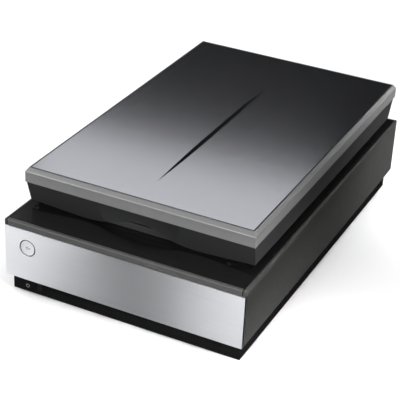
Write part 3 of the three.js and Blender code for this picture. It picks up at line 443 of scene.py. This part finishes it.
def finish(name, colour, roughness, metallic=0.0, specular=0.5, coat=0.0,
           texture=GRAIN, texture_values=None, bump=0.02, bump_distance=0.2 * MM,
           rough_swing=0.12, wear=0.3, wear_colour=(0.35, 0.35, 0.36), dust=0.03,
           anisotropic=0.0):
    """A procedural finish: a base colour that wavers, surface texture, rubbed edges and faint dust.

    An anisotropic finish stretches its highlights upright, as brushing across the width does.
    """
    material = bpy.data.materials.new(name)
    material.use_nodes = True
    tree = material.node_tree
    shader = tree.nodes["Principled BSDF"]
    place = tree.nodes.new("ShaderNodeTexCoord").outputs["Object"]
    surface = place_group(tree, texture, place, **(texture_values or {}))
    toned = mix_colours(tree, 1.0, colour, surface.outputs["Tone"], "MULTIPLY")
    rubbed = place_group(tree, EDGE_WEAR, place, Amount=wear)
    worn = mix_colours(tree, rubbed.outputs["Mask"], toned, wear_colour)
    settled = place_group(tree, DUST, place, Amount=dust)
    dusty = mix_colours(tree, settled.outputs["Mask"], worn, DUST_COLOUR)
    tree.links.new(dusty, shader.inputs["Base Color"])
    centred = math_node(tree, "SUBTRACT", surface.outputs["Height"], 0.5)
    swing = math_node(tree, "MULTIPLY", centred, rough_swing)
    tree.links.new(math_node(tree, "ADD", swing, roughness), shader.inputs["Roughness"])
    bumped = tree.nodes.new("ShaderNodeBump")
    bumped.inputs["Strength"].default_value = bump
    bumped.inputs["Distance"].default_value = bump_distance
    tree.links.new(surface.outputs["Height"], bumped.inputs["Height"])
    tree.links.new(bumped.outputs["Normal"], shader.inputs["Normal"])
    shader.inputs["Metallic"].default_value = metallic
    shader.inputs["Specular IOR Level"].default_value = specular
    shader.inputs["IOR"].default_value = REFRACTIVE_INDEX
    shader.inputs["Coat Weight"].default_value = coat
    shader.inputs["Coat Roughness"].default_value = COAT_ROUGHNESS
    shader.inputs["Anisotropic"].default_value = anisotropic
    if anisotropic:
        upright = tree.nodes.new("ShaderNodeCombineXYZ")
        upright.inputs["Z"].default_value = 1.0
        turned = tree.nodes.new("ShaderNodeVectorTransform")
        turned.vector_type = "VECTOR"
        turned.convert_from = "OBJECT"
        turned.convert_to = "WORLD"
        tree.links.new(upright.outputs["Vector"], turned.inputs["Vector"])
        tree.links.new(turned.outputs["Vector"], shader.inputs["Tangent"])
    return material


def clear_glass():
    """The document glass: clear float glass with a faint green tint."""
    material = bpy.data.materials.new("document_glass")
    material.use_nodes = True
    tree = material.node_tree
    shader = tree.nodes["Principled BSDF"]
    place = tree.nodes.new("ShaderNodeTexCoord").outputs["Object"]
    surface = place_group(tree, GRAIN, place, Scale=60.0, Mottle=0.03)
    toned = mix_colours(tree, 1.0, (0.93, 0.97, 0.955), surface.outputs["Tone"], "MULTIPLY")
    tree.links.new(toned, shader.inputs["Base Color"])
    smear = math_node(tree, "MULTIPLY", surface.outputs["Height"], GLASS_SMEAR)
    tree.links.new(smear, shader.inputs["Roughness"])
    shader.inputs["Metallic"].default_value = 0.0
    shader.inputs["Transmission Weight"].default_value = 1.0
    shader.inputs["IOR"].default_value = REFRACTIVE_INDEX
    return material


finishes = {
    "lid_plate": finish("lid_satin_paint", (0.29, 0.29, 0.305), 0.14, metallic=0.98,
                        texture_values={"Scale": 3200.0, "Mottle": 0.03}, bump=0.03, wear=0.2,
                        wear_colour=(0.5, 0.5, 0.52)),
    "lid_grey": finish("lid_frame_paint", (0.20, 0.20, 0.20), 0.36, metallic=0.6, coat=0.1,
                       texture_values={"Scale": 2600.0, "Mottle": 0.05}, bump=0.03, wear=0.35),
    "silver": finish("brushed_silver", (0.80, 0.81, 0.84), 0.35, metallic=1.0, texture=BRUSHING,
                     texture_values={"Density": 1700.0, "Contrast": 0.16}, bump=0.06,
                     bump_distance=0.1 * MM, rough_swing=0.2, wear=0.15, wear_colour=(0.9, 0.9, 0.92),
                     anisotropic=1.0),
    "side_grey": finish("side_panel_paint", (0.017, 0.0172, 0.0155), 0.5, metallic=0.2, specular=0.2,
                        texture_values={"Scale": 2600.0, "Mottle": 0.08}, bump=0.03, wear=0.4),
    "trim_grey": finish("trim_plastic", (0.036, 0.036, 0.035), 0.4, metallic=0.2,
                        texture_values={"Scale": 1800.0, "Mottle": 0.06}, bump=0.06, wear=0.3),
    "black": finish("satin_black_plastic", (0.004, 0.004, 0.0042), 0.2, specular=0.17,
                    texture_values={"Scale": 1500.0, "Mottle": 0.1}, bump=0.06, wear=0.15,
                    wear_colour=(0.05, 0.05, 0.05), dust=0.008),
    # Matt black plastic. The rear screws' cross strokes also take it, as painted shade of their recesses.
    "inner_black": finish("matt_black_plastic_and_painted_recess_shade", (0.014, 0.014, 0.0145), 0.5,
                          texture_values={"Scale": 1100.0, "Mottle": 0.15}, bump=0.15, wear=0.2,
                          wear_colour=(0.04, 0.04, 0.04)),
    "rubber": finish("foot_rubber", (0.006, 0.006, 0.006), 0.82, specular=0.2,
                     texture_values={"Scale": 900.0, "Mottle": 0.2}, bump=0.25, wear=0.1,
                     wear_colour=(0.05, 0.05, 0.05), dust=0.01),
    "steel": finish("zinc_plated_steel", (0.56, 0.57, 0.58), 0.28, metallic=1.0, texture=BRUSHING,
                    texture_values={"Density": 900.0, "Contrast": 0.25}, bump=0.05,
                    wear=0.2, wear_colour=(0.7, 0.7, 0.7)),
    "mirror": finish("mirror_glass", (0.9, 0.91, 0.92), 0.03, metallic=1.0, bump=0.0,
                     texture_values={"Scale": 40.0, "Mottle": 0.02}, rough_swing=0.02, wear=0.0),
    "white": finish("matt_white", (0.82, 0.82, 0.79), 0.6,
                    texture_values={"Scale": 1400.0, "Mottle": 0.04}, bump=0.08, wear=0.1,
                    wear_colour=(0.7, 0.69, 0.66)),
    "gear_nylon": finish("moulded_nylon", (0.72, 0.69, 0.60), 0.45,
                         texture_values={"Scale": 1200.0, "Mottle": 0.08}, bump=0.08, wear=0.15,
                         wear_colour=(0.8, 0.78, 0.7)),
    "board_green": finish("board_green", (0.015, 0.10, 0.045), 0.35, coat=0.4,
                          texture_values={"Scale": 700.0, "Mottle": 0.25}, bump=0.1, wear=0.1),
    "cable_grey": finish("ribbon_cable", (0.46, 0.49, 0.53), 0.4,
                         texture_values={"Scale": 800.0, "Mottle": 0.1}, bump=0.05, wear=0.1),
    "glass": clear_glass(),
}
# Finishes of nodes that differ from the rest of their slot.
NODE_FINISHES = {
    "lid_shell": finish("lid_shell_plastic", (0.014, 0.014, 0.0145), 0.38, specular=0.45,
                        texture_values={"Scale": 1300.0, "Mottle": 0.1}, bump=0.12, wear=0.15,
                        wear_colour=(0.05, 0.05, 0.05)),
}

node_slot = {row["node"]: row["material_slot"] for row in frame["record"]["subparts"]}
for node_name, node in frame["nodes"].items():
    node.data.materials.clear()
    node.data.materials.append(finishes[node_slot[node_name]])


# ---------- outer pieces with rounded edges ----------
# What opens the seam beside a node.
SEAMS = {"lid_top_plate": widen_plate_seam, "deck_front_trim": widen_trim_seam}
# Bevel width and segments of each node that gets rounded edges.
ROUNDED = {
    "lid_frame": (0.5 * MM, 3),
    "lid_top_plate": (0.3 * MM, 2),
    "lid_shell": (0.5 * MM, 3),
    "deck": (0.5 * MM, 2),
    "deck_front_trim": (0.25 * MM, 2),
    "side_panel_left": (0.3 * MM, 2),
    "side_panel_right": (0.3 * MM, 2),
    "front_panel": (0.35 * MM, 2),
    "lower_case": (0.6 * MM, 2),
    "rear_panel": (0.25 * MM, 2),
    "hinge_socket_left": (0.8 * MM, 3),
    "hinge_socket_right": (0.8 * MM, 3),
    "document_mat": (0.8 * MM, 3),
    "lid_underside": (0.4 * MM, 2),
    "power_button": (0.5 * MM, 3),
    "transport_lock": (0.5 * MM, 2),
}
for node_name, (width, segments) in ROUNDED.items():
    rounded_copy(node_name, node_name + "_finished", width, segments)


# ---------- printed and moulded details ----------
ink_grain = {"Scale": 2500.0, "Mottle": 0.05}
print_grey = finish("printed_grey", (0.035, 0.035, 0.04), 0.5, texture_values=ink_grain, wear=0.0)
print_white = finish("printed_white", (0.30, 0.30, 0.30), 0.5, texture_values=ink_grain, wear=0.0)


def join_pieces(pieces):
    """One object from several."""
    only(pieces[0])
    for piece in pieces[1:]:
        piece.select_set(True)
    bpy.ops.object.join()
    return bpy.context.view_layer.objects.active


def block(centre, size, turn=(0.0, 0.0, 0.0)):
    """A box with its centre, full size and turn in radians."""
    bpy.ops.object.select_all(action="DESELECT")
    bpy.ops.mesh.primitive_cube_add(size=1.0, location=centre, rotation=turn)
    cube = bpy.context.object
    cube.scale = size
    return settle(cube)


ALONG_Y = (math.radians(90), 0.0, 0.0)
ALONG_Z = (0.0, 0.0, 0.0)


def disc(centre, radius, depth, turn=ALONG_Z, sides=48):
    """A solid disc whose axis is along Z before its turn in radians."""
    bpy.ops.object.select_all(action="DESELECT")
    bpy.ops.mesh.primitive_cylinder_add(vertices=sides, radius=radius, depth=depth, location=centre,
                                        rotation=turn)
    return settle(bpy.context.object)


def flat_ring(centre, radius, line, depth):
    """A thin round line on a face that looks to the front."""
    bpy.ops.object.select_all(action="DESELECT")
    bpy.ops.mesh.primitive_torus_add(major_radius=radius, minor_radius=line / 2, major_segments=64,
                                     minor_segments=8, location=centre, rotation=ALONG_Y)
    ring = bpy.context.object
    ring.scale = (1.0, 1.0, depth / line)
    return settle(ring)


def node_centre(node):
    """The middle of a CAD node's box."""
    low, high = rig.box(node)
    return (Vector(low) + Vector(high)) / 2


def node_low(node):
    """The low corner of a CAD node's box."""
    return Vector(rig.box(node)[0])


def node_high(node):
    """The high corner of a CAD node's box."""
    return Vector(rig.box(node)[1])


BUTTON_SIDES = 72
BUTTON_GAP = 0.7 * MM
SKIRT_SUNK = 1.0 * MM
PRINT_DEPTH = 0.12 * MM


def start_button():
    """The round start button: a shallow dish in a turned rim, with a dark gap around it and a small mark."""
    low = node_low("start_button")
    high = node_high("start_button")
    centre = node_centre("start_button")
    radius = (high.x - low.x) / 2
    depth = high.y - low.y
    cap = disc(centre, radius - BUTTON_GAP, depth, ALONG_Y, BUTTON_SIDES)
    pick_faces(cap, looks_front)
    rim = 0.9 * MM
    dish_ring = 2.2 * MM
    outer_fall = 0.10 * MM
    inner_fall = 0.06 * MM
    bpy.ops.mesh.inset(thickness=rim, depth=0.0)
    bpy.ops.mesh.inset(thickness=dish_ring, depth=-outer_fall)
    bpy.ops.mesh.inset(thickness=dish_ring, depth=-inner_fall)
    bpy.ops.object.mode_set(mode="OBJECT")
    apply_bevel(cap, 0.18 * MM, 2, angle=25)
    finish_piece(cap, "start_button_cap", "start_button", "silver", finishes["silver"])
    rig.replaces(cap, "start_button")
    skirt_centre = (centre.x, centre.y + SKIRT_SUNK / 2, centre.z)
    skirt = disc(skirt_centre, radius, depth - SKIRT_SUNK, ALONG_Y, BUTTON_SIDES)
    finish_piece(skirt, "start_button_skirt", "start_button", "inner_black", finishes["inner_black"])
    mark_y = low.y + outer_fall + inner_fall - 0.02 * MM
    start_mark(centre.x, mark_y, centre.z)


def start_mark(x, y, z):
    """The button's mark: a small diamond drawn in four strokes, with three short lines beside it."""
    reach = 0.95 * MM
    diamond_x = x - 0.4 * MM
    stroke_size = (2.9 * MM, PRINT_DEPTH, 0.5 * MM)
    strokes = []
    for side in (-1, 1):
        for slope in (-1, 1):
            place = (diamond_x + side * reach, y, z + side * slope * reach)
            strokes.append(block(place, stroke_size, (0.0, math.radians(45 * slope), 0.0)))
    lines_x = x + 2.9 * MM
    line_width = 0.34 * MM
    for offset, length in ((-0.75 * MM, 1.1 * MM), (0.0, 1.5 * MM), (0.75 * MM, 1.1 * MM)):
        strokes.append(block((lines_x, y, z + offset), (length, PRINT_DEPTH, line_width)))
    finish_piece(join_pieces(strokes), "start_mark", "start_button", "trim_grey", print_grey)


def power_mark():
    """The ring and stroke beside the power button."""
    front = node_low("lower_case").y
    x = node_low("power_button").x - 13.0 * MM
    z = node_centre("power_button").z - 2.5 * MM
    radius = 2.1 * MM
    line = 0.42 * MM
    depth = 0.16 * MM
    half_notch = 0.65 * MM
    ring = flat_ring((x, front, z), radius, line, depth)
    pick_vertices(ring, lambda place: abs(place.x - x) < half_notch and place.z > z)
    bpy.ops.mesh.delete(type="VERT")
    bpy.ops.mesh.select_all(action="SELECT")
    bpy.ops.mesh.fill_holes(sides=0)
    bpy.ops.object.mode_set(mode="OBJECT")
    stroke_rise = 1.7 * MM
    stroke_length = 1.9 * MM
    stroke = block((x, front, z + stroke_rise), (line, depth, stroke_length))
    finish_piece(join_pieces([ring, stroke]), "power_mark", "base", "white", print_white)


def deck_bumpers():
    """Soft pads that the closed lid comes down on."""
    low = node_low("deck")
    high = node_high("deck")
    places = {
        "left": (low.x + 15.2 * MM, low.y + 34.3 * MM),
        "right": (high.x - 36.0 * MM, low.y + 37.3 * MM),
    }
    radius = 2.6 * MM
    height = 1.0 * MM
    centre_rise = 0.2 * MM
    for name, (x, y) in places.items():
        pad = disc((x, y, high.z + centre_rise), radius, height)
        apply_bevel(pad, 0.4 * MM, 3)
        finish_piece(pad, "deck_bumper_" + name, "base", "rubber", finishes["rubber"])


def foot_treads():
    """Ribbed rubber feet, each with a ring-shaped groove sunk into its underside."""
    groove = 0.5 * MM
    for node in ("foot_front_left", "foot_front_right", "foot_rear_left", "foot_rear_right"):
        low = node_low(node)
        high = node_high(node)
        radius = (high.x - low.x) / 2
        outer_rib = radius * 0.18
        groove_floor = radius * 0.16
        groove_wall = radius * 0.06
        foot = disc(node_centre(node), radius, high.z - low.z)
        pick_faces(foot, looks_down)
        bpy.ops.mesh.inset(thickness=outer_rib, depth=0.0)
        bpy.ops.mesh.inset(thickness=groove_wall, depth=-groove)
        bpy.ops.mesh.inset(thickness=groove_floor, depth=0.0)
        bpy.ops.mesh.inset(thickness=groove_wall, depth=groove)
        bpy.ops.object.mode_set(mode="OBJECT")
        apply_bevel(foot, 0.25 * MM, 2)
        finish_piece(foot, node + "_ribbed", "base", "rubber", finishes["rubber"])
        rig.replaces(foot, node)


def rear_screw(name, x, y, z):
    """A pan-head screw whose head looks to the back, with its cross drawn on it as thin black strokes: painted shade
    of a cross recess that isn't cut.
    """
    radius = 2.6 * MM
    centre_out = 0.5 * MM
    head_height = 1.6 * MM
    dome_rise = 0.25 * MM
    head = disc((x, y + centre_out, z), radius, head_height, ALONG_Y, sides=32)
    pick_faces(head, looks_back)
    bpy.ops.mesh.inset(thickness=radius * 0.35, depth=dome_rise)
    bpy.ops.object.mode_set(mode="OBJECT")
    apply_bevel(head, 0.2 * MM, 2)
    # Painted shade: the cross recess isn't cut into the head. Thin black strokes lie on its face where the recess
    # would be dark.
    cross_y = y + centre_out + head_height / 2 + dome_rise + 0.01 * MM
    stroke_size = (radius, 0.06 * MM, 0.5 * MM)
    strokes = []
    for turn in (20, 110):
        strokes.append(block((x, cross_y, z), stroke_size, (0.0, math.radians(turn), 0.0)))
    finish_piece(head, name, "base", "steel", finishes["steel"])
    finish_piece(join_pieces(strokes), name + "_painted_recess_shade", "base", "inner_black", finishes["inner_black"])


def rear_screws():
    """Three screws along the bottom of the rear panel and three along its top."""
    low = node_low("rear_panel")
    high = node_high("rear_panel")
    side_margin = 9 * MM
    columns = (low.x + side_margin, 0.0, high.x - side_margin)
    rows = (low.z + 5 * MM, high.z - 6 * MM)
    places = [(x, z) for x in columns for z in rows]
    for number, (x, z) in enumerate(places, start=1):
        rear_screw("rear_screw_%d" % number, x, high.y, z)


TICK_STEP = 10 * MM
TICK_WIDTH = 0.35 * MM
TICK_GAP = 1.6 * MM


def tick_length(index):
    """Every fifth tick is longer."""
    if index % 5 == 0:
        return 4.5 * MM
    return 2.5 * MM


def glass_marks():
    """Corner arrow and ruler ticks on the deck beside the document glass."""
    deck_top = node_high("deck").z
    low = node_low("document_glass")
    high = node_high("document_glass")
    ticks = []
    for index in range(1, int((high.y - low.y) / TICK_STEP)):
        length = tick_length(index)
        place = (high.x + TICK_GAP + length / 2, high.y - index * TICK_STEP, deck_top)
        ticks.append(block(place, (length, TICK_WIDTH, PRINT_DEPTH)))
    for index in range(1, int((high.x - low.x) / TICK_STEP)):
        length = tick_length(index)
        place = (high.x - index * TICK_STEP, low.y - TICK_GAP - length / 2, deck_top)
        ticks.append(block(place, (TICK_WIDTH, length, PRINT_DEPTH)))
    finish_piece(join_pieces(ticks), "ruler_ticks", "base", "white", print_white)
    from_corner = 7.5 * MM
    arrow_radius = 3.6 * MM
    place = (high.x + from_corner, high.y + from_corner, deck_top)
    arrow = disc(place, arrow_radius, PRINT_DEPTH, (0.0, 0.0, math.radians(135)), sides=3)
    finish_piece(arrow, "corner_arrow", "base", "white", print_white)


start_button()
power_mark()
deck_bumpers()
foot_treads()
rear_screws()
glass_marks()


# ---------- floor, light and camera ----------
FLOOR_SIZE = 9.0
BACKDROP_STRENGTH = 0.65
AMBIENT_STRENGTH = 0.015


def studio_floor():
    """A wide pale floor. Reflections don't see it, as on a lit sweep that is held away from the sides."""
    bpy.ops.mesh.primitive_plane_add(size=FLOOR_SIZE, location=(0, 0, 0))
    floor = bpy.context.object
    floor.name = "studio_floor"
    floor.visible_glossy = False
    material = bpy.data.materials.new("pale_floor")
    material.use_nodes = True
    shader = material.node_tree.nodes["Principled BSDF"]
    shader.inputs["Base Color"].default_value = (0.93, 0.93, 0.93, 1.0)
    shader.inputs["Roughness"].default_value = 0.9
    shader.inputs["Specular IOR Level"].default_value = 0.0
    floor.data.materials.append(material)
    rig.stage(floor)


def soft_light(name, aim, azimuth, elevation, distance, size, radiance,
               colour=(1.0, 1.0, 1.0), spread=180, roll=0.0):
    """A rectangular soft light that shines on aim.

    Seen from aim, it stands at an azimuth in degrees, counted from the back towards +X, and at an elevation.
    """
    turn = math.radians(azimuth)
    rise = math.radians(elevation)
    away = Vector((math.sin(turn) * math.cos(rise), math.cos(turn) * math.cos(rise), math.sin(rise)))
    width, height = size
    light = bpy.data.lights.new(name, "AREA")
    light.shape = "RECTANGLE"
    light.size = width
    light.size_y = height
    light.energy = radiance * math.pi * width * height
    light.color = colour
    light.spread = math.radians(spread)
    holder = bpy.data.objects.new(name, light)
    bpy.context.scene.collection.objects.link(holder)
    holder.location = Vector(aim) + away * distance
    holder.rotation_mode = "QUATERNION"
    holder.rotation_quaternion = away.to_track_quat("Z", "Y") @ Quaternion((0, 0, 1), math.radians(roll))
    return holder


def keep_off(light, piece):
    """Leaves a piece out of what a light shines on, so that the piece doesn't mirror it either."""
    left_out = bpy.data.collections.new(light.name + "_left_out")
    left_out.objects.link(piece)
    left_out.collection_objects[0].light_linking.link_state = "EXCLUDE"
    light.light_linking.receiver_collection = left_out


def studio_lights():
    """Lamps placed for the main view, with weaker ones behind and beside for the other views."""
    lid = (0.0, 0.0, HIGH.z)
    panel = (0.0, FRONT, 0.06)
    side = (HALF_WIDTH, 0.0, 0.06)
    front_corner = (HALF_WIDTH, FRONT, 0.07)
    rear_corner = (HALF_WIDTH, HIGH.y, 0.09)
    rear = (0.0, HIGH.y, 0.08)
    soft_light("overhead", lid, azimuth=70, elevation=83, distance=2.6, size=(2.6, 2.6), radiance=1.5)
    ceiling = soft_light("ceiling", lid, azimuth=0, elevation=90, distance=4.5, size=(20.0, 20.0),
                         radiance=0.785)
    ceiling.visible_glossy = False
    lid_sheen = soft_light("lid_sheen", lid, azimuth=-29.0, elevation=35.9, distance=2.6, size=(1.0, 0.76),
                           radiance=1.65, colour=(0.95, 0.97, 1.0), roll=-13)
    keep_off(lid_sheen, bpy.data.objects["deck_finished"])
    front_left = soft_light("front_left", panel, azimuth=-139.5, elevation=12, distance=1.9,
                            size=(0.8, 0.9), radiance=6.8)
    front_right = soft_light("front_right", panel, azimuth=-172.5, elevation=12, distance=1.9,
                             size=(0.75, 0.9), radiance=7.6)
    for light in (front_left, front_right):
        keep_off(light, bpy.data.objects["lid_top_plate_finished"])
    soft_light("right_rear", side, azimuth=16, elevation=10, distance=1.6, size=(0.45, 0.4), radiance=1.6)
    soft_light("right_front", side, azimuth=64, elevation=14, distance=1.6, size=(0.6, 0.5), radiance=0.8)
    soft_light("near_front", front_corner, azimuth=104, elevation=12, distance=0.55, size=(0.16, 0.16),
               radiance=10.0, spread=50)
    soft_light("near_rear", rear_corner, azimuth=88, elevation=14, distance=0.55, size=(0.16, 0.16),
               radiance=7.0, spread=50)
    soft_light("back_fill", rear, azimuth=-66, elevation=26, distance=2.2, size=(1.2, 1.0), radiance=2.6)
    soft_light("front_fill", lid, azimuth=145, elevation=26, distance=2.6, size=(2.2, 1.2), radiance=0.3)
    soft_light("left_fill", lid, azimuth=-112, elevation=24, distance=2.6, size=(2.0, 1.0), radiance=0.3)


def studio_world():
    """An even white world that the camera sees brighter than the object does."""
    world = bpy.data.worlds.new("studio")
    bpy.context.scene.world = world
    world.use_nodes = True
    tree = world.node_tree
    background = tree.nodes["Background"]
    background.inputs["Color"].default_value = (1.0, 1.0, 1.0, 1.0)
    path = tree.nodes.new("ShaderNodeLightPath")
    seen = math_node(tree, "MULTIPLY", path.outputs["Is Camera Ray"], BACKDROP_STRENGTH)
    strength = math_node(tree, "ADD", seen, AMBIENT_STRENGTH)
    tree.links.new(strength, background.inputs["Strength"])


CAMERA_AZIMUTH = 25.13
CAMERA_ELEVATION = 29.12
CAMERA_ROLL = 2.88
CAMERA_DISTANCE = 1.6844
CAMERA_TARGET = Vector((-0.02274, -0.0015, 0.04116))
CAMERA_LENS = 117.08
CAMERA_SENSOR_WIDTH = 36.0


def studio_camera():
    """The main view: from the front and the right, a little above the object."""
    azimuth = math.radians(CAMERA_AZIMUTH)
    elevation = math.radians(CAMERA_ELEVATION)
    back = Vector((
        math.sin(azimuth) * math.cos(elevation),
        -math.cos(azimuth) * math.cos(elevation),
        math.sin(elevation),
    ))
    camera = bpy.data.objects.new("studio_camera", bpy.data.cameras.new("studio_camera"))
    bpy.context.scene.collection.objects.link(camera)
    camera.data.lens = CAMERA_LENS
    camera.data.sensor_width = CAMERA_SENSOR_WIDTH
    camera.location = CAMERA_TARGET + back * CAMERA_DISTANCE
    camera.rotation_mode = "QUATERNION"
    level = (-back).to_track_quat("-Z", "Y")
    roll = Quaternion((0, 0, 1), math.radians(CAMERA_ROLL))
    camera.rotation_quaternion = level @ roll
    bpy.context.scene.camera = camera


studio_floor()
studio_lights()
studio_world()
studio_camera()
bpy.context.scene.view_settings.view_transform = "Standard"

visual_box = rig.bounds()
with open("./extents.json", "w") as size_file:
    json.dump({
        "cad": [list(corner) for corner in cad_box],
        "visual": [list(corner) for corner in visual_box],
    }, size_file)
